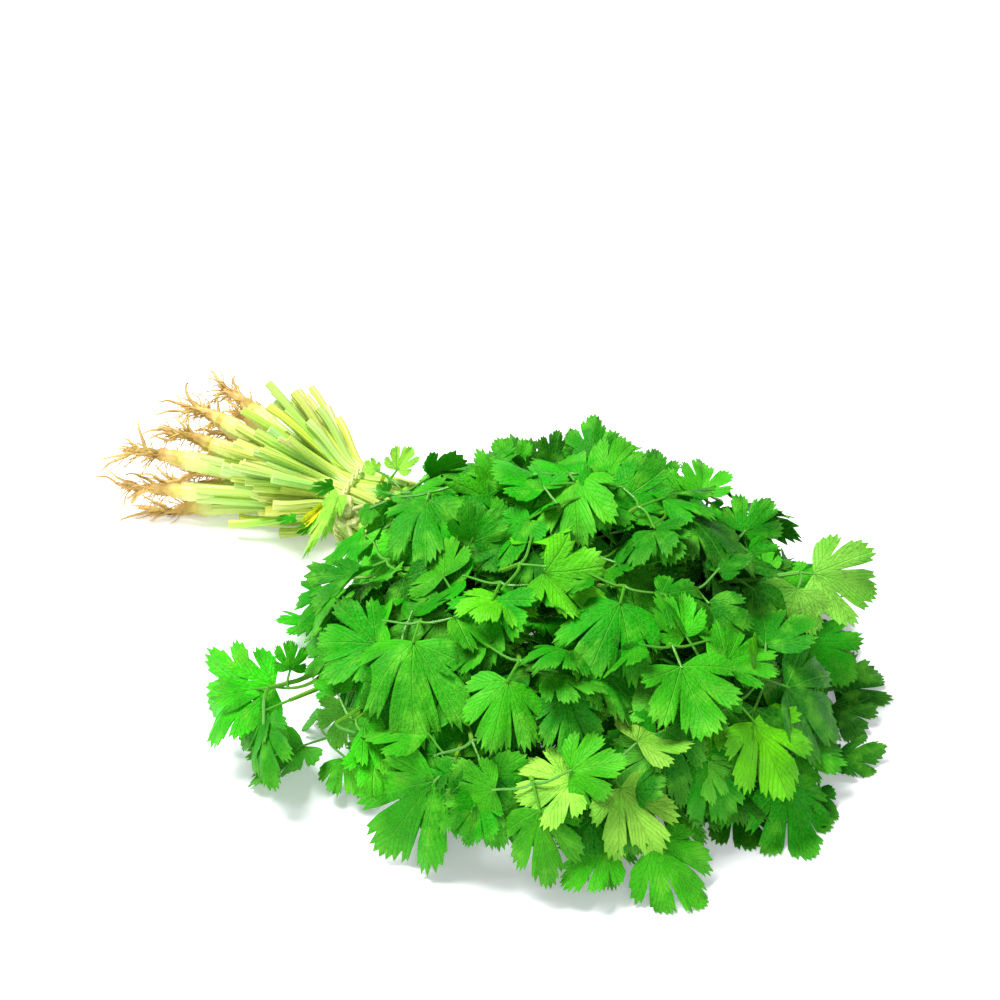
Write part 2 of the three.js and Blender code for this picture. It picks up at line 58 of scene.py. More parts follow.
# Camera: a portrait lens, from the leafy side of the bunch and a little under half way up to overhead.
# It looks just ahead of the tie, which everything in the bunch is measured from.
tie_place = Vector(frame["record"]["mounts"][0]["pos_m"])
camera_aim = tie_place + Vector((75.4, 12.3, 54.7)) * MM
camera_turn = math.radians(50)
camera_rise = math.radians(36)
CAMERA_DISTANCE = 0.9
camera_back = Vector(
    (
        math.sin(camera_turn) * math.cos(camera_rise),
        -math.cos(camera_turn) * math.cos(camera_rise),
        math.sin(camera_rise),
    )
)
bpy.ops.object.select_all(action="DESELECT")
bpy.ops.object.camera_add(location=camera_aim + camera_back * CAMERA_DISTANCE)
camera = bpy.context.object
camera.rotation_euler = camera_back.to_track_quat("Z", "Y").to_euler()
camera.data.lens = 85
camera.data.sensor_width = 36
bpy.context.scene.camera = camera


# Floor and light: a wide flat white paper under a large soft lamp, with light from all round so that
# the shadows stay pale.
class Wire:
    """A value in a material. Arithmetic on it adds the nodes that work it out."""

    def __init__(self, material, socket):
        self.material = material
        self.socket = socket

    def sum(self, operation, *others):
        values = {i: value for i, value in enumerate([self, *others])}
        return self.material.node("ShaderNodeMath", {"operation": operation}, values)

    def __add__(self, other):
        return self.sum("ADD", other)

    def __mul__(self, other):
        return self.sum("MULTIPLY", other)

    def __sub__(self, other):
        return self.sum("SUBTRACT", other)

    def __rsub__(self, other):
        return self * -1 + other

    def __abs__(self):
        return self.sum("ABSOLUTE")

    def __gt__(self, other):
        return self.sum("GREATER_THAN", other)

    __radd__ = __add__
    __rmul__ = __mul__

    def between(self, low, high, start=0.0, end=1.0):
        """Rises smoothly from start to end as the value goes from low to high."""
        settings = {"interpolation_type": "SMOOTHSTEP"}
        return self.material.node(
            "ShaderNodeMapRange", settings, {0: self, 1: low, 2: high, 3: start, 4: end}
        )


class Finish:
    """A material, built node by node."""

    def __init__(self, name):
        self.made = bpy.data.materials.new(name)
        self.made.use_nodes = True
        self.tree = self.made.node_tree
        self.tree.nodes.clear()

    def node(self, kind, settings=None, values=None, output=0):
        made = self.tree.nodes.new(kind)
        for key, value in (settings or {}).items():
            setattr(made, key, value)
        for key, value in (values or {}).items():
            if isinstance(value, Wire):
                self.tree.links.new(value.socket, made.inputs[key])
            else:
                made.inputs[key].default_value = value
        return Wire(self, made.outputs[output]) if made.outputs else None

    def parts(self, of):
        """The three numbers that a place is made of."""
        return [self.node("ShaderNodeSeparateXYZ", None, {0: of}, i) for i in range(3)]

    def place(self):
        return self.node("ShaderNodeTexCoord", output=3)

    def surface(self):
        return self.node("ShaderNodeUVMap", {"uv_map": "surface"})

    def noise(self, scale, detail=3):
        values = {"Vector": self.place(), "Scale": scale, "Detail": detail}
        return self.node("ShaderNodeTexNoise", None, values)

    def colour(self, share, first, second, blend="MIX"):
        settings = {"data_type": "RGBA", "blend_type": blend}
        return self.node("ShaderNodeMix", settings, {0: share, 6: first, 7: second}, 2)

    def bump(self, height, depth, strength):
        values = {"Height": height, "Distance": depth, "Strength": strength}
        return self.node("ShaderNodeBump", None, values)

    def finish(self, shader):
        self.node("ShaderNodeOutputMaterial", None, {0: shader})
        return self.made


bpy.ops.mesh.primitive_plane_add(size=14, location=(0, 0, -0.0003))
paper = bpy.context.object
paper.name = "paper"
white = Finish("white paper")
paper_grain = white.noise(6)
paper.data.materials.append(
    white.finish(
        white.node(
            "ShaderNodeBsdfPrincipled",
            None,
            {
                "Base Color": white.colour(paper_grain, (0.93, 0.94, 0.96, 1), (0.9, 0.91, 0.93, 1)),
                "Roughness": 0.9,
                "Emission Color": (0.95, 0.97, 1, 1),
                "Emission Strength": 0.26,
            },
        )
    )
)
world = bpy.data.worlds.new("soft room")
world.use_nodes = True
world.node_tree.nodes["Background"].inputs[0].default_value = (0.97, 0.985, 1, 1)
world.node_tree.nodes["Background"].inputs[1].default_value = 0.36
bpy.context.scene.world = world
for lamp_name, lamp_from, lamp_size, lamp_power in (
    ("key lamp", Vector((-0.45, -0.35, 1.45)), 0.7, 41),
    ("fill lamp", Vector((1.1, -0.8, 0.8)), 1.0, 6),
):
    bpy.ops.object.light_add(type="AREA", location=lamp_from)
    lamp = bpy.context.object
    lamp.name = lamp_name
    lamp.rotation_euler = lamp_from.to_track_quat("Z", "Y").to_euler()
    lamp.data.size = lamp_size
    lamp.data.energy = lamp_power
bpy.context.scene.view_settings.view_transform = "Standard"


# Stalks: round, finely ribbed petioles, pale where they bunch under the tie and greener towards the leaf.
# Each runs from its plant's crown, or from a cut, through the tie and out to one leaf.
def seeded(seed):
    """The same numbers for the same seed every time, each from 0 to 1."""
    state = seed

    def draw():
        nonlocal state
        state = (state + 0x6D2B79F5) % 2**32
        t = (state ^ (state >> 15)) * (state | 1) % 2**32
        t ^= (t + (t ^ (t >> 7)) * (t | 61)) % 2**32
        return (t ^ (t >> 14)) / 2**32

    return draw


def vector(*values):
    return np.array(values, float)


def unit(v):
    return v / np.linalg.norm(v)


MOUND = {"centre": 118, "sides": vector(116, 118, 84)}
SHAPING_SPRIGS = [
    # bearing round the mound, rise, turn of the leaf, its size, its reach, and the leaf's tone
    (-80, 51, 30, 34, 1.0, "mid"),
    (-51, 49, -15, 27, 1.0, "mid"),
    (-27, 27, 20, 28, 1.0, "lime"),
    (-6, 47, -20, 30, 1.0, "mid"),
    (-44, 73, 70, 27, 1.0, "spring"),
    (-13, 63, -40, 30, 1.0, "green"),
    (-143, 67, 105, 30, 1.0, "green"),
    (-61, 30, -25, 31, 1.0, "mid"),
    (-86, 27, -15, 31, 1.0, "bright"),
    (4, 30, 0, 30, 1.0, "spring"),
    (7, 12, -10, 30, 1.0, "green"),
    (-17, 32, -65, 22, 0.96, "pale"),
    (44, 43, 30, 33, 1.0, "faded"),
    (16, 31, 43, 34, 1.0, "dark"),
    (153, 86, 20, 28, 1.0, "green"),
    (107, 82, -140, 27, 1.0, "mid"),
    (110, 78, 32, 30, 1.02, "green"),
    (62, 69, 14, 25, 1.0, "green"),
    (51, 64, -25, 28, 1.0, "dark"),
    (-104, 24, -60, 30, 1.0, "bright"),
    (-100, 25, -34, 28, 1.06, "bright"),
    (-22, 12, 35, 26, 1.0, "mid"),
    (-32, 20, 8, 24, 0.96, "green"),
    (-36, 46, -5, 23, 0.96, "dark"),
    (-65, 65, 10, 25, 0.96, "green"),
    (-116, 53, 15, 26, 0.98, "dark"),
    (-91, 46, -52, 26, 0.96, "green"),
    (7, 43, 70, 25, 0.98, "mid"),
    (-42, 21, 15, 26, 1.0, "mid"),
    (23, 5, 55, 22, 1.0, "dark"),
    (-160, 57, 150, 24, 0.94, "mid"),
    (-54, 31, 35, 24, 0.96, "dark"),
    (-8, 28, 0, 27, 0.96, "green"),
    (-160, 38, 40, 28, 0.8, "green"),
    (165, 45, 20, 26, 0.84, "green"),
]
FILL_SPRIGS = 24
SIDE_SPRIGS = 168
BEARING_STEP = 0.569840291  # of a full turn, from one try to the next: this spreads them evenly
RISE_STEP = 0.7548776662


def on_mound(bearing, rise, reach):
    b = math.radians(bearing)
    r = math.radians(rise)
    out = vector(math.cos(r) * math.cos(b), math.cos(r) * math.sin(b), math.sin(r))
    return vector(MOUND["centre"], 0, 0) + MOUND["sides"] * reach * out


def mound_normal(point):
    return unit((point - vector(MOUND["centre"], 0, 0)) / MOUND["sides"] ** 2)


sprigs = [
    {"bearing": b, "rise": r, "turn": t, "size": s, "reach": h, "tone": tone, "seed": 100 + i}
    for i, (b, r, t, s, h, tone) in enumerate(SHAPING_SPRIGS)
]
taken = [on_mound(s["bearing"], s["rise"], s["reach"]) for s in sprigs]
LEAF_SPACING = 25
tried = 0
while len(sprigs) < len(SHAPING_SPRIGS) + FILL_SPRIGS:
    draw = seeded(500 + tried)
    rise = math.degrees(math.asin(0.06 + 0.92 * ((tried + 0.5) * RISE_STEP % 1)))
    bearing = 360 * ((tried + 0.5) * BEARING_STEP % 1) - 180
    inner = tried % 4 == 3
    reach = 0.62 + 0.12 * draw() if inner else 0.86 + 0.1 * draw()
    turn = (draw() - 0.5) * 120
    size = 24 + 5 * draw()
    tried += 1
    if abs(bearing) > 145 and rise < 38:
        continue
    if -75 < bearing < -12 and rise < 24:
        continue
    point = on_mound(bearing, rise, reach)
    if not inner and min(np.linalg.norm(p - point) for p in taken) < LEAF_SPACING:
        continue
    taken.append(point)
    sprigs.append(
        {
            "bearing": bearing,
            "rise": rise,
            "turn": turn,
            "size": size,
            "reach": reach,
            # the inner leaves take the inside tone, painted shade deep in the mound
            "tone": "inside" if inner else ("green", "mid", "dark")[tried % 3],
            "seed": 499 + tried,
            "lean": 0.9 * (draw() - 0.5),
        }
    )

# At the neck the stalks lie packed like pencils. Each is given the spot there that is nearest to the way
# that its leaf lies, by swapping spots for as long as a swap brings two stalks nearer.
STALK_PITCH = 3.45
LATTICE_STEPS = range(-8, 9)
lattice = [
    vector(STALK_PITCH * (column + 0.5 * (abs(row) % 2)), STALK_PITCH * row * math.sqrt(0.75))
    for row in LATTICE_STEPS
    for column in LATTICE_STEPS
]
lattice.sort(key=lambda p: math.hypot(p[0] - 0.6, p[1] - 0.4))
lattice = lattice[: len(sprigs)]
middle = sum(lattice) / len(lattice)
lattice = [p - middle for p in lattice]
bundle_radius = max(np.linalg.norm(p) for p in lattice)
for sprig in sprigs:
    base = on_mound(sprig["bearing"], sprig["rise"], sprig["reach"])
    high = max(base[2] - 6, 0)
    around = math.pi / 2 + 1.8 * (math.atan2(high, base[1]) - math.pi / 2)
    sprig["wants"] = vector(math.cos(around), math.sin(around))
    sprig["off"] = math.atan2(math.hypot(base[1], high), base[0] + 10)
ranked = sorted(sprigs, key=lambda s: s["off"])
for i, sprig in enumerate(ranked):
    sprig["wants"] = sprig["wants"] * bundle_radius * math.sqrt((i + 0.5) / len(ranked))
    sprig["spot"] = lattice[i]


def miss(sprig, spot):
    return ((sprig["wants"] - spot) ** 2).sum()


better = True
while better:
    better = False
    for a in ranked:
        for b in ranked:
            now = miss(a, a["spot"]) + miss(b, b["spot"])
            if miss(a, b["spot"]) + miss(b, a["spot"]) <= now - 0.001:
                a["spot"], b["spot"] = b["spot"], a["spot"]
                better = True

NECK = vector(0, 0, 17)
UP = vector(0, 0, 1)
ROOT_BEND = math.radians(22)
root_heading = -vector(math.cos(ROOT_BEND), math.sin(ROOT_BEND), 0)
root_across = vector(root_heading[1], -root_heading[0], 0)
neck_heading = unit(vector(1, 0, 0) - root_heading)
neck_across = np.cross(UP, neck_heading)


def at_root_end(spot, behind):
    """Where a stalk that has this spot at the neck is, so far behind it: the root end opens out."""
    opened = behind / 60
    return (
        NECK
        + behind * root_heading
        + spot[0] * (1 + 1.25 * opened) * root_across
        + (spot[1] * (1 + 0.85 * opened) + behind * 0.02) * UP
    )


def divide(group, key, parts):
    """Splits stalks by their place at the neck into parts of as many each."""
    group = sorted(group, key=lambda s: s["spot"][key])
    edges = [int(k * len(group) / parts + 0.5) for k in range(parts + 1)]
    return [group[a:b] for a, b in zip(edges, edges[1:])]


LAYERS = 3
PLANTS_ACROSS = 4
LOWEST_CROWN = 5.4
plants = []
cut_plants = []
for layer in divide(sprigs, 1, LAYERS):
    for group in divide(layer, 0, PLANTS_ACROSS):
        group.sort(key=lambda s: -np.linalg.norm(s["spot"]))
        if group[0]["spot"][1] > -3 and np.linalg.norm(group[0]["spot"]) > 11:
            cut_plants.append({"stalks": [group.pop(0)], "rooted": False})
        plants.append({"stalks": group, "rooted": True})
for i, plant in enumerate(plants + cut_plants):
    draw = seeded(40 + i if plant["rooted"] else 90 + i - len(plants))
    centre = sum(s["spot"] for s in plant["stalks"]) / len(plant["stalks"])
    plant["behind"] = 50 + 14 * draw() if plant["rooted"] else 34 + 16 * draw()
    plant["crown"] = at_root_end(centre, plant["behind"])
    plant["crown"][2] = max(plant["crown"][2], LOWEST_CROWN)
    plant["heading"] = unit(plant["crown"] - NECK)
    plant["middle"] = centre
    flare = 1.35 + 0.2 * draw()
    for s in plant["stalks"]:
        s["plant"] = plant
        if plant["rooted"]:
            aside = 0.8 * (s["spot"] - centre)
            s["foot"] = plant["crown"] + aside[0] * root_across + aside[1] * UP
        else:
            s["foot"] = at_root_end(flare * s["spot"], plant["behind"])


# Some leaves are set one by one, by their place in the list: moved, turned, made narrower or flatter, or
# given smaller side leaflets, down to none.
sprigs[6]["right"] = 0.3
sprigs[7].update(shift=vector(-2, -2, -7), size=35)
sprigs[8].update(shift=vector(0, 0, -3), right=0.45)
sprigs[12].update(size=28, stem=5, left=0, sag=0.4)
sprigs[13]["turn"] = 28
sprigs[14]["sag"] = 0.2
sprigs[16]["sag"] = 0.2
sprigs[19].update(shift=vector(-8, -9, 1), turn=-42, right=0)
sprigs[20].update(shift=vector(-2, -2, -4), turn=-26, size=20, right=0)
sprigs[21]["turn"] = 23
sprigs[25]["right"] = 0.45
sprigs[28]["shift"] = vector(0, 0, 5)
sprigs[29].update(turn=38, narrow=0.55)
sprigs[30]["right"] = 0.3
sprigs[33]["shift"] = vector(13, -7, -3)
sprigs[37]["shift"] = vector(8, 8, 0)
sprigs[52]["shift"] = vector(-4, -5, 0)
sprigs[53]["right"] = 0.4


STEM = 10  # of the middle leaflet, from the end of the stalk
LYING_HEIGHT = 34  # below this a leaf turns more and more to lie on the table
DROOP = 14  # degrees


def leaf_frame(sprig):
    """Where a leaf starts, the way its rib points, its left and its upper face."""
    if "held" in sprig:
        return sprig["held"]
    foot = on_mound(sprig["bearing"], sprig["rise"], sprig["reach"]) + sprig.get("shift", 0)
    foot[2] = max(foot[2], 3)
    low = max(0, 1 - foot[2] / LYING_HEIGHT)
    out = mound_normal(foot)
    face = unit((1 - low) * out + (0.2 + 2 * low) * UP)
    down = -UP + (0.3 + low) * out * (1, 1, 0)
    down = unit(down - face * down.dot(face))
    turn = math.radians(sprig["turn"])
    along = down * math.cos(turn) + np.cross(face, down) * math.sin(turn)
    left = unit(np.cross(face, along))
    tilt = -math.radians(DROOP * (1 - low))
    along = along * math.cos(tilt) + np.cross(left, along) * math.sin(tilt)
    along[2] = max(along[2], (1.5 - foot[2]) / (1.1 * sprig["size"]))
    along = unit(along)
    left = unit(left - along * left.dot(along))
    lean = sprig.get("lean", 0) * (1 - low)
    left = left * math.cos(lean) + np.cross(along, left) * math.sin(lean)
    base = foot - STEM * along
    base[2] = max(base[2], 2.2)
    return base, along, left, np.cross(along, left)


def curve(start, start_heading, end, end_heading, pull, count):
    """Points on a smooth curve that leaves its start and reaches its end in the ways given."""
    reach = np.linalg.norm(end - start) * pull
    t = np.linspace(0, 1, count)[:, None]
    a, b, c, d = start, start + reach * start_heading, end - reach * end_heading, end
    return a * (1 - t) ** 3 + 3 * b * t * (1 - t) ** 2 + 3 * c * t**2 * (1 - t) + d * t**3


def strip(name, around, along):
    """A flat grid of one by one, to be bent into leaflets, stalks and roots."""
    bpy.ops.object.select_all(action="DESELECT")
    bpy.ops.mesh.primitive_grid_add(size=1, x_subdivisions=around, y_subdivisions=along)
    pattern = bpy.context.object
    pattern.name = name
    return pattern


def read_pattern(pattern):
    mesh = pattern.data
    points = np.array([v.co for v in mesh.vertices], float)
    faces = np.array([p.vertices[:] for p in mesh.polygons])
    bpy.data.objects.remove(pattern)
    return {"points": points, "faces": faces}


THICK_POINTS = 17  # in the line that a thick tube is bent along
THIN_POINTS = 10
thick_tube = read_pattern(strip("stalk pattern", 8, THICK_POINTS + 1))
thin_tube = read_pattern(strip("rootlet pattern", 5, THIN_POINTS + 1))


def bent_tube(pattern, points, radii, tone=(1, 1, 1)):
    """The tube pattern bent along a line of points, closed at both ends."""
    points = np.array(points)
    points = np.vstack([points[:1], points, points[-1:]])
    radii = np.concatenate([[0], radii, [0]])
    headings = np.gradient(points, axis=0)
    headings[0] = headings[2]
    headings[1] = headings[2]
    headings[-1] = headings[-3]
    headings[-2] = headings[-3]
    across = unit(vector(0.1, 0.2, 1))
    first = []
    second = []
    for heading in headings:
        heading = unit(heading)
        across = unit(across - heading * across.dot(heading))
        first.append(across)
        second.append(np.cross(heading, across))
    share = pattern["points"][:, :2] + 0.5
    step = np.rint(share[:, 1] * (len(points) - 1)).astype(int)
    turn = share[:, 0] * 2 * math.pi
    around = np.array(first)[step] * np.cos(turn)[:, None]
    around += np.array(second)[step] * np.sin(turn)[:, None]
    placed = points[step] + around * radii[step][:, None]
    return {
        "points": placed,
        "faces": pattern["faces"],
        "surface": share[pattern["faces"]].reshape(-1, 2),
        "tone": np.tile(vector(*tone), (len(placed), 1)),
    }


TABLE_GAP = 0.05  # nothing goes lower above the table, in millimetres
tie_shift = vector(*tie_place) / MM
lowest = vector(*frame_box[0]) / MM
highest = vector(*frame_box[1]) / MM


def piece(name, copies, material, slot, *nodes, merge=False, sharp=40):
    """Joins copies into one piece of the bunch, on its root body."""
    bpy.ops.object.select_all(action="DESELECT")
    starts = np.cumsum([0] + [len(c["points"]) for c in copies])
    points = np.vstack([c["points"] for c in copies]) + tie_shift
    points[:, 2] = np.maximum(points[:, 2], TABLE_GAP)
    faces = np.vstack([c["faces"] + start for c, start in zip(copies, starts)])
    mesh = bpy.data.meshes.new(name)
    mesh.vertices.add(len(points))
    mesh.vertices.foreach_set("co", (points * MM).ravel())
    mesh.loops.add(faces.size)
    mesh.loops.foreach_set("vertex_index", faces.ravel())
    mesh.polygons.add(len(faces))
    mesh.polygons.foreach_set("loop_start", np.arange(0, faces.size, 4))
    mesh.update(calc_edges=True)
    surface = mesh.uv_layers.new(name="surface")
    surface.data.foreach_set("uv", np.vstack([c["surface"] for c in copies]).ravel())
    tone = mesh.attributes.new("tone", "FLOAT_COLOR", "POINT")
    colours = np.vstack([c["tone"] for c in copies])
    tone.data.foreach_set("color", np.column_stack([colours, np.ones(len(colours))]).ravel())
    mesh.materials.append(material)
    made = bpy.data.objects.new(name, mesh)
    bpy.context.scene.collection.objects.link(made)
    made.select_set(True)
    bpy.context.view_layer.objects.active = made
    if merge:
        bpy.ops.object.mode_set(mode="EDIT")
        bpy.ops.mesh.select_all(action="SELECT")
        bpy.ops.mesh.remove_doubles(threshold=0.000004)
        bpy.ops.object.mode_set(mode="OBJECT")
    bpy.ops.object.shade_smooth_by_angle(angle=math.radians(sharp))
    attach(made, "root")
    if nodes:
        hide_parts(*nodes)
    return made


def stalk_line(sprig):
    base, along, _, face = leaf_frame(sprig)
    neck = NECK + sprig["spot"][0] * neck_across + sprig["spot"][1] * UP
    towards = unit(base - neck)
    arrive = unit(0.3 * along + 0.6 * mound_normal(base) + 0.5 * towards)
    leave = unit(neck_heading + 0.3 * towards)
    out = curve(neck, leave, base - 0.75 * face, arrive, 0.34, 12)
    back = curve(sprig["foot"], -sprig["plant"]["heading"], neck, leave, 0.4, 6)
    line = np.vstack([back[:-1], out])
    line[:, 2] = np.maximum(line[:, 2], 2.3)
    return line


SHORT_STALKS = 7  # for each plant
UPPER_SHORT_STALKS = 11  # more for each plant on the upper side
STALK_RADII = [2.2, 2.15, 2.0, 1.8, 1.65, 1.55, 1.6, 1.6, 1.55, 1.5, 1.42, 1.35, 1.25, 1.15, 1.05, 0.95, 0.8]
BRANCH_RADII = np.linspace(1.05, 0.6, THIN_POINTS)
side_way = vector(math.cos(camera_turn), math.sin(camera_turn), 0)
near_way = vector(*camera_back)
up_way = np.cross(near_way, side_way)


def held_leaf(place, turn, sway):
    """A leaf that shows its face to the near side: its place, the way it points and its lean."""
    turned = math.radians(turn)
    along = math.cos(turned) * side_way + math.sin(turned) * up_way
    face = unit(near_way + (0.35 + 0.1 * math.sin(3 * sway)) * UP + 0.25 * math.sin(2 * sway) * side_way)
    along = unit(along - face * along.dot(face))
    return vector(*place), along, np.cross(face, along), face


sprigs[12]["held"] = held_leaf((183.3, 64.1, 58.2), -9, 3)
for sprig in sprigs:
    sprig["line"] = stalk_line(sprig)
    sprig["sides"] = []

# Side sprigs branch from the nearest stalk and fill the mound behind the outer leaves. The first ones
# are listed one by one: they stand up along its crest, round the tie and in the cluster on the left.
STANDING = [
    # place from the tie's foot, turn, size, the share of its side leaflets, and tone
    ((92.8, 43.5, 64.0), 94, 19, 0.8, "green"),
    ((77.3, 21.2, 55.5), 112, 20, 0.8, "mid"),
    ((21.9, -0.2, 40.6), 52, 13, 0.5, "lime"),
    ((44.8, 8.8, 41.3), 92, 13, 0.5, "green"),
    ((126.8, 66.2, 56.8), 62, 17, 0.8, "mid"),
    ((151.1, 63.1, 53.8), 48, 19, 0.8, "green"),
    ((109.4, 58.7, 54.8), 78, 16, 0.8, "dark"),
    ((69.2, 8.5, 49.3), 132, 16, 0.8, "green"),
    ((48.1, -12.8, 52.7), -104, 20, 0.3, "mid"),
    ((63.3, -12.1, 59.5), -84, 24, 0.35, "faded"),
    ((84.6, 28.4, 62.7), 70, 15, 0.8, "dark"),
    ((174.4, 59.8, 46.8), 20, 18, 0.8, "mid"),
    ((208.8, -47.5, 31.3), -62, 17, 0.8, "dark"),
    ((176.5, -81.4, 35.4), -95, 18, 0.8, "green"),
    ((128.2, -105.6, 44.4), -119, 31, 0.75, "mid"),
    ((116.7, -90.1, 43.2), 158, 26, 0.6, "pale"),
    ((94.4, -101.7, 35.9), 178, 25, 0.5, "bright"),
]
side_sprigs = [
    {
        "held": held_leaf(place, turn, i),
        "size": size,
        "tone": tone,
        "seed": 8000 + i,
        "stem": 5,
        "sag": 0.5,
        "left": share,
        "right": share,
        "fine": True,
    }
    for i, (place, turn, size, share, tone) in enumerate(STANDING)
]
while len(side_sprigs) < SIDE_SPRIGS:
    draw = seeded(9000 + tried)
    rise = math.degrees(math.asin(0.03 + 0.95 * ((tried + 0.5) * RISE_STEP % 1)))
    bearing = 360 * ((tried + 0.5) * BEARING_STEP % 1) - 180
    sprig = {
        "bearing": bearing,
        "rise": rise,
        "turn": (draw() - 0.5) * 150,
        "size": 19 + 8 * draw(),
        "reach": 0.58 + 0.37 * draw(),
        # given in turn, among them the dark and inside tones of painted shade and the pale one of painted
        # sheen
        "tone": ("green", "dark", "mid", "inside", "green", "pale", "dark")[tried % 7],
        "seed": 9000 + tried,
        "lean": 1.5 * (draw() - 0.5),
        "stem": 4.5 + 4 * draw(),
    }
    sprig["fine"] = sprig["reach"] > 0.8 and -130 < bearing < 60
    tried += 1
    if abs(bearing) > 150 and rise < 30 or -80 < bearing < -10 and rise < 20:
        continue  # the neck and the near side are open below
    base = leaf_frame(sprig)[0]
    across = base.dot(side_way)
    above = base.dot(up_way)
    if across < 2 and above < -14:
        continue  # below the tie
    if across < 13 and -78 < above < -42:
        continue  # the gap beside the cluster on the left
    side_sprigs.append(sprig)
for sprig in side_sprigs:
    base, along, _, face = leaf_frame(sprig)
    parent = min(sprigs, key=lambda s: np.linalg.norm(s["line"][9:15] - base, axis=1).min())
    nearest = 8 + int(np.linalg.norm(parent["line"][9:15] - base, axis=1).argmin())
    start = parent["line"][nearest]
    heading = unit(parent["line"][nearest + 1] - start)
    arrive = unit(0.4 * along + 0.5 * mound_normal(base) + 0.4 * unit(base - start))
    sprig["line"] = curve(start, heading, base - 0.6 * face, arrive, 0.36, THIN_POINTS)
    sprig["line"][:, 2] = np.maximum(sprig["line"][:, 2], 1.2)
    parent["sides"].append(sprig)

STALK_PALE = (0.60, 0.80, 0.18, 1)
STALK_GREEN = (0.08, 0.42, 0.006, 1)
STALK_FOOT = (0.76, 0.78, 0.27, 1)
STALK_SOIL = (0.66, 0.46, 0.13, 1)
STALK_RIB = (0.78, 0.86, 0.22, 1)
STALK_GLOW = (0.6, 0.8, 0.08, 1)
stalk = Finish("ribbed stalk")
around_stalk, along_stalk, _ = stalk.parts(stalk.surface())
stalk_mottle = stalk.noise(90)
greening = along_stalk.between(0.25, 0.95) + (stalk_mottle - 0.5) * 0.35
stalk_colour = stalk.colour(greening, STALK_PALE, STALK_GREEN)
stalk_colour = stalk.colour(along_stalk.between(0.02, 0.13, 0.8, 0.0), stalk_colour, STALK_FOOT)
stalk_colour = stalk.colour(along_stalk.between(0.0, 0.035, 0.75, 0.0), stalk_colour, STALK_SOIL)
ribs = (around_stalk * 2 * math.pi * 9).sum("SINE")
stalk_colour = stalk.colour(ribs.between(-1, 1, 0.0, 0.2), stalk_colour, STALK_RIB)
stalk_tone = stalk.node("ShaderNodeAttribute", {"attribute_name": "tone"})
stalk_colour = stalk.colour(1.0, stalk_colour, stalk_tone, "MULTIPLY")
stalk_look = stalk.node(
    "ShaderNodeBsdfPrincipled",
    None,
    {
        "Base Color": stalk_colour,
        "Roughness": 0.3 + stalk_mottle * 0.18,
        "Normal": stalk.bump(ribs + stalk_mottle * 0.8, 0.0001, 0.5),
        "Coat Weight": 0.12,
    },
)
stalk_glow = stalk.node("ShaderNodeBsdfTranslucent", None, {0: STALK_GLOW})
stalk_mix = {0: 0.12, 1: stalk_look, 2: stalk_glow}
stalk_material = stalk.finish(stalk.node("ShaderNodeMixShader", None, stalk_mix))


def stalks_of(sprig):
    draw = seeded(sprig["seed"] + 300)
    shade = (0.72 + 0.36 * draw(), 0.86 + 0.18 * draw(), 0.55 + 0.6 * draw())
    made = [bent_tube(thick_tube, sprig["line"], STALK_RADII, shade)]
    for side in sprig["sides"]:
        branch = bent_tube(thin_tube, side["line"], BRANCH_RADII)
        branch["surface"][:, 1] = 0.6 + 0.4 * branch["surface"][:, 1]
        made.append(branch)
    return made


def short_stalks_of(plant, number):
    """Petioles that lost their leaves: they fill the root end between the plants and end in a cut."""
    made = []
    for k in range(SHORT_STALKS + (UPPER_SHORT_STALKS if plant["middle"][1] > 3 else 0)):
        draw = seeded(1500 + 40 * number + k)
        spot = plant["middle"] + 5.5 * vector(draw() - 0.5, draw() - 0.5)
        if k >= SHORT_STALKS:
            spot = (0.75 + 0.25 * draw()) * bundle_radius * unit(spot + 7 * vector(draw() - 0.3, 0))
        neck = NECK + spot[0] * neck_across + spot[1] * UP
        flare = 1.4 + 0.5 * draw() if spot[1] > 3 else 1.0 + 0.3 * draw()
        behind = 22 + 26 * draw()
        foot = at_root_end(flare * spot + 3 * vector(draw() - 0.5, draw() - 0.5), behind)
        foot[2] = max(foot[2], 3.5)
        heading = unit(neck - foot + 10 * vector(draw() - 0.5, draw() - 0.5, draw() - 0.5))
        back = curve(foot, heading, neck, neck_heading, 0.4, 11)
        tip = neck + 26 * neck_heading + 0.5 * spot[1] * UP
        ahead = curve(neck, neck_heading, tip, neck_heading, 0.3, 7)
        line = np.vstack([back, ahead[1:]])
        thick = 1.25 + 0.9 * draw()
        radii = np.concatenate([np.linspace(thick, 1.3, 11), np.linspace(1.25, 0.7, 6)])
        shade = (0.7 + 0.42 * draw(), 0.86 + 0.2 * draw(), 0.4 + 0.8 * draw())
        stem = bent_tube(thick_tube, line, radii, shade)
        stem["surface"][:, 1] = 0.05 + 0.35 * stem["surface"][:, 1]
        made.append(stem)
    return made


COLLAR = {"ahead": 7, "behind": 7.3, "radius": 4.15}


def collar_of(plant):
    """The swollen foot where a plant's stalks meet its root."""
    steps = np.linspace(-COLLAR["ahead"], COLLAR["behind"], THICK_POINTS)
    ends = [plant["crown"] + t * plant["heading"] for t in steps]
    radii = COLLAR["radius"] * np.sin(np.linspace(0.5, 1.95, THICK_POINTS)) ** 0.7
    radii += 0.12 * np.sin(np.arange(THICK_POINTS) * 1.9)
    made = bent_tube(thick_tube, ends, radii)
    made["surface"][:, 1] = 0.11 * (1 - made["surface"][:, 1])
    return [made]


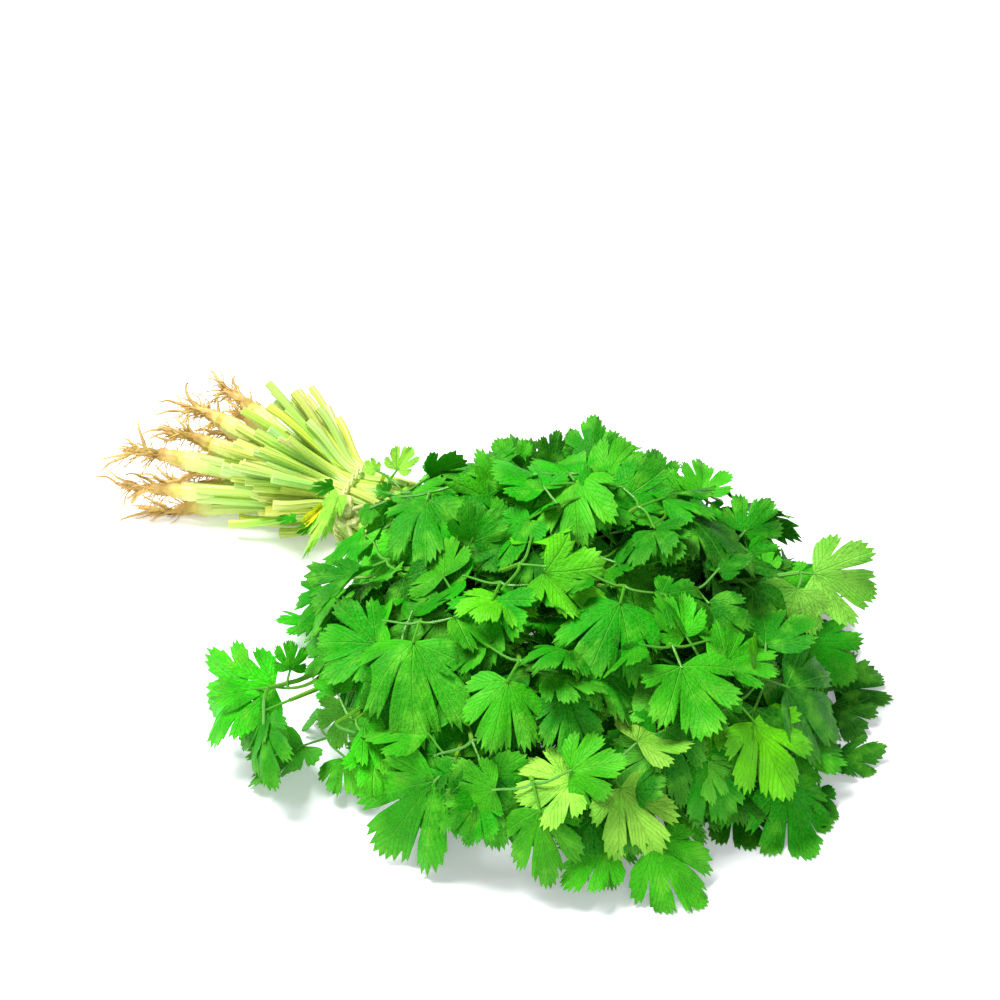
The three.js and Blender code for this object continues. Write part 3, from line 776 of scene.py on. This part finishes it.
for i, plant in enumerate(plants):
    copies = [c for s in plant["stalks"] for c in stalks_of(s)] + collar_of(plant)
    copies += short_stalks_of(plant, i)
    plant["name"] = f"plant_{i + 1:02d}"
    node = f"{plant['name']}_shoot"
    piece(f"{plant['name']}_stalks", copies, stalk_material, "stalk", node, merge=True)
cut_nodes = [n for n in frame["nodes"] if n.startswith("cut_stalk")]
SAME_STALK = 0.004  # a cut stalk's solid has a corner this near to the stalk's foot, in metres
for i, plant in enumerate(cut_plants):
    foot = (plant["stalks"][0]["foot"] + tie_shift) * MM
    gaps = {
        n: min(np.linalg.norm(np.array(v.co) - foot) for v in frame["nodes"][n].data.vertices)
        for n in cut_nodes
    }
    plant["node"] = [n for n in cut_nodes if gaps[n] < SAME_STALK]
    cut_nodes = [n for n in cut_nodes if n not in plant["node"]]
    plant["name"] = f"cut_{i + 1:02d}"
    copies = stalks_of(plant["stalks"][0])
    piece(f"{plant['name']}_stalks", copies, stalk_material, "stalk", *plant["node"], merge=True)


# Leaves: thin blades of three leaflets on short stems, each a fan of toothed lobes with veins that branch
# from its foot. The tones run from lime through spring green to dark green.
TONES = {
    "lime": (0.40, 0.86, 0.08),
    "mid": (0.05, 0.50, 0.005),
    "green": (0.008, 0.36, 0.001),
    "spring": (0.13, 0.62, 0.003),
    "bright": (0.03, 0.50, 0.001),
    # pale: a grey-green painted sheen, the sky reflected in glossy upper faces
    "pale": (0.13, 0.62, 0.035),
    "faded": (0.25, 0.68, 0.07),
    # dark: partly the leaves' own deep green, partly painted shade
    "dark": (0.002, 0.19, 0.001),
    # inside: painted shade, near black, for the leaves deep in the mound
    "inside": (0.001, 0.12, 0.001),
    "yellow": (0.88, 0.76, 0.02),
}
MARGIN = [
    # degrees from the leaflet's rib, and the margin's share of its size: peaks are teeth, and at 27 and 65
    # degrees there are clefts between lobes
    (0, 1.06), (2.8, 0.99), (5.5, 1.05), (8.3, 0.96), (11, 1.01), (14, 0.85), (17, 0.97), (19.5, 0.90),
    (22, 0.92), (24.5, 0.74), (27, 0.38), (29.5, 0.72), (32, 0.92), (34.5, 0.87), (37.5, 1.0),
    (40, 0.93), (43, 1.03), (46, 0.90), (49, 1.01), (51.5, 0.92), (54.5, 0.96), (57, 0.84), (60, 0.85),
    (62.5, 0.66), (65, 0.44), (67.5, 0.68), (70, 0.82), (72.5, 0.76), (76, 0.85), (79, 0.76), (83, 0.80),
    (86, 0.69), (90, 0.71), (94, 0.60), (98, 0.57), (102, 0.44), (106, 0.30), (112, 0.05),
]  # fmt: skip
PLAIN_MARGIN = [
    (0, 1.06), (5, 0.89), (9, 1.0), (14, 0.80), (19, 0.94), (23, 0.70), (27, 0.40), (31, 0.72),
    (36, 0.98), (40, 0.85), (45, 1.02), (50, 0.83), (55, 0.96), (60, 0.76), (65, 0.46), (70, 0.76),
    (76, 0.84), (82, 0.67), (89, 0.70), (98, 0.48), (112, 0.05),
]  # fmt: skip


def leaflet_pattern(half_margin, rings):
    """A leaflet of size one, lying flat: a grid drawn into a fan, and given its thickness."""
    margin = [(-a, r) for a, r in reversed(half_margin[1:])] + half_margin
    pattern = strip("leaflet pattern", len(margin) - 1, rings)
    bpy.ops.object.modifier_add(type="SOLIDIFY")
    pattern.modifiers[0].thickness = 1
    bpy.ops.object.modifier_apply(modifier=pattern.modifiers[0].name)
    flat = read_pattern(pattern)
    share = flat["points"][:, :2] + 0.5
    column = len(margin) - 1 - np.rint(share[:, 0] * (len(margin) - 1)).astype(int)
    angle = np.radians(np.array([a for a, _ in margin])[column])
    out = 0.02 + 0.98 * share[:, 1] ** 0.8
    radius = np.array([r for _, r in margin])[column] * out
    points = np.column_stack([radius * np.cos(angle), radius * np.sin(angle), flat["points"][:, 2]])
    return {"points": points, "faces": flat["faces"]}


fine_leaflet = leaflet_pattern(MARGIN, 4)
plain_leaflet = leaflet_pattern(PLAIN_MARGIN, 3)  # for the leaves inside the mound
BLADE = 0.45  # its thickness
LEAFLET = 0.87  # a middle leaflet's share of its sprig's size
SIDE_SHARE = 0.8  # a side leaflet's share of the middle one
SIDE_TURN = math.radians(92)  # between the leaf's rib and a side leaflet's
SIDE_STEM = 1.3  # a side leaflet's stem against the middle one's


def bent_leaflet(pattern, sprig, frame_of, angle, foot, size, draw, bends, narrow):
    """One leaflet of a leaf: placed in the leaf's plane, then bent with the leaf and by itself."""
    x, y, depth = pattern["points"].T
    stretch = (0.72 + 0.2 * draw()) * narrow
    phase = 6.3 * draw()
    radius = np.hypot(x, y)
    theta = np.arctan2(y, x)
    uneven = 1 + 0.05 * np.sin(5 * theta + phase)
    own = -0.5 * draw() ** 1.5 * x**2 + (0.7 * draw() - 0.3) * np.abs(y) ** 1.4
    own += 0.1 * radius**2 * np.sin(3 * theta + phase)
    own += 0.055 * radius**3 * np.sin(9 * theta + 2 * phase)
    own += 0.02 * radius**4 * np.sin(21 * theta + 3 * phase)
    a = angle + math.radians(26) * (draw() - 0.5)
    apart = 0.5 if angle == 0 else 1.1
    lift = apart * (draw() - 0.55)
    roll = apart * (draw() - 0.5)
    across = foot * math.cos(angle) + size * uneven * (x * math.cos(a) - stretch * y * math.sin(a))
    aside = foot * math.sin(angle) + size * uneven * (x * math.sin(a) + stretch * y * math.cos(a))
    level = size * (own + lift * x + roll * y)
    sag = -bends[0] * across**2 - bends[1] * aside**2
    ripple = bends[2] * np.sin(0.2 * across + bends[3]) * np.sin(0.15 * aside)
    ripple = ripple * np.minimum(1, np.hypot(across, aside) / 12)
    height = level + sag + ripple + (depth + 0.5) * BLADE
    base, along, left, face = frame_of
    placed = base + across[:, None] * along + aside[:, None] * left + height[:, None] * face
    placed[:, 2] = np.maximum(placed[:, 2], (depth + 1) * BLADE + TABLE_GAP)
    flat = np.column_stack([0.5 + y / 2.2, 0.5 + x / 2.2])
    return {
        "points": placed,
        "faces": pattern["faces"],
        "surface": flat[pattern["faces"]].reshape(-1, 2),
        "tone": np.tile(vector(*sprig["shade"]) * (0.7 + 0.55 * draw()), (len(placed), 1)),
    }


# Leaflets are left out over the knot, and over the gap between the mound and the cluster on the left. Each
# opening is its place to the side and up the near side, its radius, and how near a leaflet must be to count.
CLEAR = [(-4, 8, 6, 10), (-11.8, -57.5, 3, -200)]


def in_the_clear(points):
    """Whether any point of a leaflet lies over an opening."""
    across = points @ side_way
    above = points @ up_way
    ahead = points @ near_way
    return any(
        ((np.hypot(across - x, above - y) < radius) & (ahead > near)).any() for x, y, radius, near in CLEAR
    )


def leaf_plan(sprig):
    """For each leaflet of a leaf, the middle one first: its turn, the length of its stem and its share."""
    stem = sprig.get("stem", STEM)
    yield 0, stem, 1
    yield SIDE_TURN, SIDE_STEM * stem, sprig.get("left", SIDE_SHARE)
    yield -SIDE_TURN, SIDE_STEM * stem, sprig.get("right", SIDE_SHARE)


def blades_of(sprig, pattern):
    """A leaf's leaflets in their shade, kept inside the box of the bunch."""
    draw = seeded(sprig["seed"] + 7000)
    sag = sprig.get("sag", 1)
    bends = (sag * (0.004 + 0.008 * draw()), 0.003 + 0.006 * draw(), 0.8 + 1.2 * draw(), 6 * draw())
    warm = 0.8 + 0.4 * draw()
    deep = 0.85 + 0.3 * draw()
    red, green, blue = TONES[sprig["tone"]]
    sprig["shade"] = (red * warm * deep, green * deep, blue * deep)
    held = leaf_frame(sprig)
    size = LEAFLET * sprig["size"]
    narrow = sprig.get("narrow", 1)
    plan = list(leaf_plan(sprig))
    blades = [
        bent_leaflet(pattern, sprig, held, angle, foot, share * size, draw, bends, narrow)
        for angle, foot, share in plan
    ]
    points = np.vstack([b["points"] for b in blades]) + tie_shift
    over = np.maximum(points.max(0) - highest, 0) + np.minimum(points.min(0) - lowest, 0)
    over[2] = max(over[2], 0)
    for blade in blades:
        blade["points"] -= over
    sprig["kept"] = [p[2] > 0 and not in_the_clear(b["points"]) for p, b in zip(plan, blades)]
    return [b for b, kept in zip(blades, sprig["kept"]) if kept]


def stems_of(sprig):
    """The short stems from the end of the stalk to the leaf's leaflets."""
    base, along, left, face = leaf_frame(sprig)
    made = []
    for (angle, foot, _), kept in zip(leaf_plan(sprig), sprig["kept"]):
        if not kept:
            continue
        way = math.cos(angle) * along + math.sin(angle) * left
        line = curve(base - 0.6 * face, unit(along + way), base + (foot + 1) * way, way, 0.3, THIN_POINTS)
        short = bent_tube(thin_tube, line, np.linspace(0.6, 0.42, THIN_POINTS), (0.5, 0.82, 0.4))
        short["surface"][:, 1] = 1
        made.append(short)
    return made


LEAF_PAINTED_SHADE = (0.001, 0.17, 0.001, 1)
LEAF_PAINTED_HIGHLIGHT = (0.17, 0.66, 0.03, 1)
LEAF_VEIN = (0.23, 0.74, 0.06, 1)
LEAF_GLOW = (0.06, 0.66, 0.002, 1)
leaf = Finish("coriander leaf")
leaf_across, leaf_along, _ = leaf.parts(leaf.surface())
leaf_x = (leaf_along - 0.5) * 2.2
leaf_y = (leaf_across - 0.5) * 2.2
leaf_turn = abs(leaf_y.sum("ARCTAN2", leaf_x))
leaf_out = (leaf_x * leaf_x + leaf_y * leaf_y).sum("SQRT")
lobe = (leaf_turn > math.radians(24)) * math.radians(40)
lobe = lobe + (leaf_turn > math.radians(58)) * math.radians(36)
from_rib = leaf_turn - lobe
up_rib = leaf_out * from_rib.sum("COSINE")
off_rib = abs(leaf_out * from_rib.sum("SINE"))
rib = 1 - off_rib.between(0.003, 0.016)
branch_step = ((up_rib - off_rib * 1.9) * 8).sum("FRACT")
branches = 1 - abs(branch_step - 0.5).between(0.02, 0.1)
branches = branches * off_rib.between(0.2, 0.3, 1.0, 0.5)
veins = rib.sum("MAXIMUM", branches * 0.7)
tone = leaf.node("ShaderNodeAttribute", {"attribute_name": "tone"})
mottle = leaf.noise(48, 4)
quilt = leaf.noise(420, 2)
highlight_patch = leaf.noise(110, 5)
net_settings = {"feature": "DISTANCE_TO_EDGE"}
net = leaf.node("ShaderNodeTexVoronoi", net_settings, {"Vector": leaf.place(), "Scale": 620})
net = 1 - net.between(0.02, 0.2)
# Near-black blotches where the mottle noise is high: painted shade, the dark of crumpled and overlapping
# leaves.
leaf_colour = leaf.colour(mottle.between(0.4, 0.68, 0.0, 0.55), tone, LEAF_PAINTED_SHADE)
# Lighter blotches from a wide noise: painted highlights, the glossy sheen on the leaves. The same noise also
# bumps the blade.
leaf_colour = leaf.colour(highlight_patch.between(0.5, 0.72, 0.0, 0.5), leaf_colour, LEAF_PAINTED_HIGHLIGHT)
edge = leaf_out.between(0.62, 1.0, 0.0, 0.2)
leaf_colour = leaf.colour(edge + veins * 0.2 + net * 0.1, leaf_colour, LEAF_VEIN)
leaf_look = leaf.node(
    "ShaderNodeBsdfPrincipled",
    None,
    {
        "Base Color": leaf_colour,
        "Roughness": 0.36 + mottle * 0.25,
        "Specular IOR Level": 0.12,
        "Normal": leaf.bump(quilt * 0.9 - veins * 0.5 - net * 0.12 + highlight_patch, 0.0008, 0.85),
    },
)
leaf_glow = leaf.node("ShaderNodeBsdfTranslucent", None, {0: LEAF_GLOW})
leaf_material = leaf.finish(leaf.node("ShaderNodeMixShader", None, {0: 0.2, 1: leaf_look, 2: leaf_glow}))

for plant in plants + cut_plants:
    copies = []
    stems = []
    for sprig in plant["stalks"]:
        copies += blades_of(sprig, fine_leaflet)
        stems += stems_of(sprig)
        for side in sprig["sides"]:
            copies += blades_of(side, fine_leaflet if side["fine"] else plain_leaflet)
            stems += stems_of(side)
    if stems:
        piece(f"{plant['name']}_stems", stems, stalk_material, "stalk", merge=True)
    nodes = [f"{plant['name']}_shoot"] if plant["rooted"] else plant["node"]
    piece(f"{plant['name']}_leaves", copies, leaf_material, "leaf", *nodes, sharp=60)


# Roots: a tan tap root under each crown, with side roots and many fine rootlets that wander back and
# settle on the table.
SIDE_ROOTS = 9
ROOTLETS = 35
ROOT_TURN = 0.381966  # of a full turn from one to the next, so that no two leave in line
SINK = 0.12


def root_line(start, heading, length, draw, count, wander):
    """A root's line of points: it wanders at each step and sinks a little."""
    points = [start]
    way = heading
    for _ in range(count - 1):
        points.append(points[-1] + way * length / (count - 1))
        way = unit(way + wander * vector(draw() - 0.5, draw() - 0.5, draw() - 0.5 - SINK))
    return np.array(points)


def roots_of(plant, number):
    draw = seeded(3000 + 50 * number)
    heading = plant["heading"]
    start = plant["crown"] + COLLAR["behind"] * heading
    tap = root_line(start, heading, 19 + 8 * draw(), draw, THICK_POINTS, 0.22)
    knobs = 1 + 0.12 * np.sin(np.arange(THICK_POINTS) * 2.1 + number)
    copies = [bent_tube(thick_tube, tap, np.linspace(3.5, 0.6, THICK_POINTS) * knobs)]
    for k in range(SIDE_ROOTS + ROOTLETS):
        thick = k < SIDE_ROOTS
        turn = 2 * math.pi * (k * ROOT_TURN + 0.2 * draw())
        aside = math.cos(turn) * root_across + 0.8 * math.sin(turn) * UP
        at = tap[int((0.08 + 0.8 * draw()) * (THICK_POINTS - 1))]
        way = unit(heading + (0.6 if thick else 0.9) * (0.4 + draw()) * aside)
        length = 11 + 9 * draw() if thick else 7 + 10 * draw()
        line = root_line(at, way, length, draw, THIN_POINTS, 0.6 if thick else 0.85)
        line[:, 2] = np.maximum(line[:, 2], 1.0 if thick else 0.45)
        foot_radius, tip_radius = (1.0, 0.3) if thick else (0.38, 0.14)
        copies.append(bent_tube(thin_tube, line, np.linspace(foot_radius, tip_radius, THIN_POINTS)))
    for copy in copies:
        placed = copy["points"] + tie_shift
        placed = np.clip(placed, lowest - 2, highest + 2)
        copy["points"] = placed - tie_shift
    return copies


ROOT_TAN = (0.70, 0.47, 0.15, 1)
ROOT_SOIL = (0.40, 0.25, 0.05, 1)
ROOT_TOP = (0.66, 0.64, 0.12, 1)
root = Finish("coriander root")
_, along_root, _ = root.parts(root.surface())
soil = root.noise(160, 5)
wrinkle = root.noise(700, 3)
root_colour = root.colour(soil.between(0.35, 0.7), ROOT_TAN, ROOT_SOIL)
root_colour = root.colour(along_root.between(0.0, 0.35, 0.7, 0.0), root_colour, ROOT_TOP)
root_look = root.node(
    "ShaderNodeBsdfPrincipled",
    None,
    {
        "Base Color": root_colour,
        "Roughness": 0.6 + soil * 0.25,
        "Normal": root.bump(wrinkle + soil, 0.0004, 0.8),
    },
)
root_material = root.finish(root_look)
for i, plant in enumerate(plants):
    copies = roots_of(plant, i)
    piece(f"{plant['name']}_roots", copies, root_material, "root", f"{plant['name']}_root", merge=True)


# The tie: two straw strands twisted together, wound once round the neck and knotted on the near side,
# with two short frayed ends.
RING_POINTS = 129
TWISTS = 15
STRAND_RADIUS = 0.62
TIE_LEAN = 3.5  # how far ahead of the neck's middle the ring is at the knot, and behind it opposite
KNOT_AHEAD = 8.5
KNOT_OUT = 2.4  # beyond the ring
cord_tube = read_pattern(strip("strand pattern", 7, RING_POINTS + 1))
end_tube = read_pattern(strip("strand end pattern", 7, THICK_POINTS + 1))
ring = bundle_radius + 1.35 + 0.9 + 0.75  # a stalk's radius, some slack, and half the twisted pair
tie_copies = []
knot_turn = math.radians(152)
for strand in (0, math.pi):
    line = []
    for t in np.linspace(0, 2 * math.pi, RING_POINTS):
        spin = TWISTS * t + strand
        out = ring + 0.52 * math.cos(spin)
        ahead = 0.75 * math.sin(spin) + TIE_LEAN * math.cos(t - knot_turn)
        line.append(NECK + ahead * neck_heading + out * (math.cos(t) * neck_across + math.sin(t) * UP))
    tie_copies.append(bent_tube(cord_tube, line, np.full(RING_POINTS, STRAND_RADIUS)))
knot_out = math.cos(knot_turn) * neck_across + math.sin(knot_turn) * UP
knot_aside = np.cross(neck_heading, knot_out)
knot_place = NECK + KNOT_AHEAD * neck_heading + (ring + KNOT_OUT) * knot_out
line = []
for t in np.linspace(0, 2 * math.pi, RING_POINTS):
    wide = math.sin(t) + 2 * math.sin(2 * t)
    tall = math.cos(t) - 2 * math.cos(2 * t)
    over = -math.sin(3 * t)
    line.append(knot_place + 2.0 * wide * neck_heading + 1.7 * tall * knot_aside + 1.9 * over * knot_out)
tie_copies.append(bent_tube(cord_tube, line, 1.9 + 0.25 * np.sin(np.arange(RING_POINTS) * 1.3)))
for turn, length in ((0.9, 11), (-0.7, 9)):
    way = unit(neck_heading + turn * knot_aside + 0.35 * knot_out)
    tip = knot_place + (4 + length) * way - 3 * knot_out
    line = curve(knot_place, way, tip, way - 0.6 * knot_out, 0.4, THICK_POINTS)
    tie_copies.append(bent_tube(end_tube, line, np.linspace(1.25, 0.6, THICK_POINTS)))
STRAW_GREEN = (0.56, 0.64, 0.18, 1)
STRAW_DRY = (0.78, 0.74, 0.36, 1)
straw = Finish("straw strand")
around_strand, along_strand, _ = straw.parts(straw.surface())
fibre = (around_strand * 2 * math.pi * 6 + along_strand * 500).sum("SINE")
straw_mottle = straw.noise(240, 4)
straw_colour = straw.colour(straw_mottle.between(0.3, 0.75), STRAW_GREEN, STRAW_DRY)
straw_look = straw.node(
    "ShaderNodeBsdfPrincipled",
    None,
    {
        "Base Color": straw_colour,
        "Roughness": 0.5 + straw_mottle * 0.25,
        "Normal": straw.bump(fibre * 0.5 + straw_mottle, 0.0002, 0.7),
    },
)
piece("tie_strand", tie_copies, straw.finish(straw_look), "tie", "tie", merge=True)

# Loose leaflets: six small ones, yellow, lime and green, that dropped from their leaves and are caught
# in the tie on the near side. They are the same thin blades as the leaves'.
loose = []
for aside, above, near, size, wide, turn, name in (
    # to the side, above and in front of the neck's middle, then size, width, turn and tone
    (-13, -1.5, 21, 14, 0.26, 234, "yellow"),
    (-6, 3, 27, 27, 0.28, 245, "lime"),
    (10, 9, 17, 9, 0.6, 320, "yellow"),
    (-9, 7, 19, 10, 0.55, 190, "bright"),
    (-24, -6, 18, 9, 0.4, 186, "bright"),
    (-17, -9, 18, 8, 0.4, 205, "mid"),
):
    base = NECK + aside * side_way + above * up_way + near * near_way
    turned = math.radians(turn)
    along = math.cos(turned) * side_way + math.sin(turned) * up_way
    left = np.cross(near_way, along)
    held = (base, along, left, near_way)
    own = {"shade": vector(*TONES[name]) * (1.25 if size > 12 else 0.95)}
    bends = (0.006, 0.01, 0.4, 1)
    loose.append(bent_leaflet(plain_leaflet, own, held, 0, 0, size, seeded(600 + turn), bends, wide))
piece("loose_leaflets", loose, leaf_material, "leaf", sharp=60)
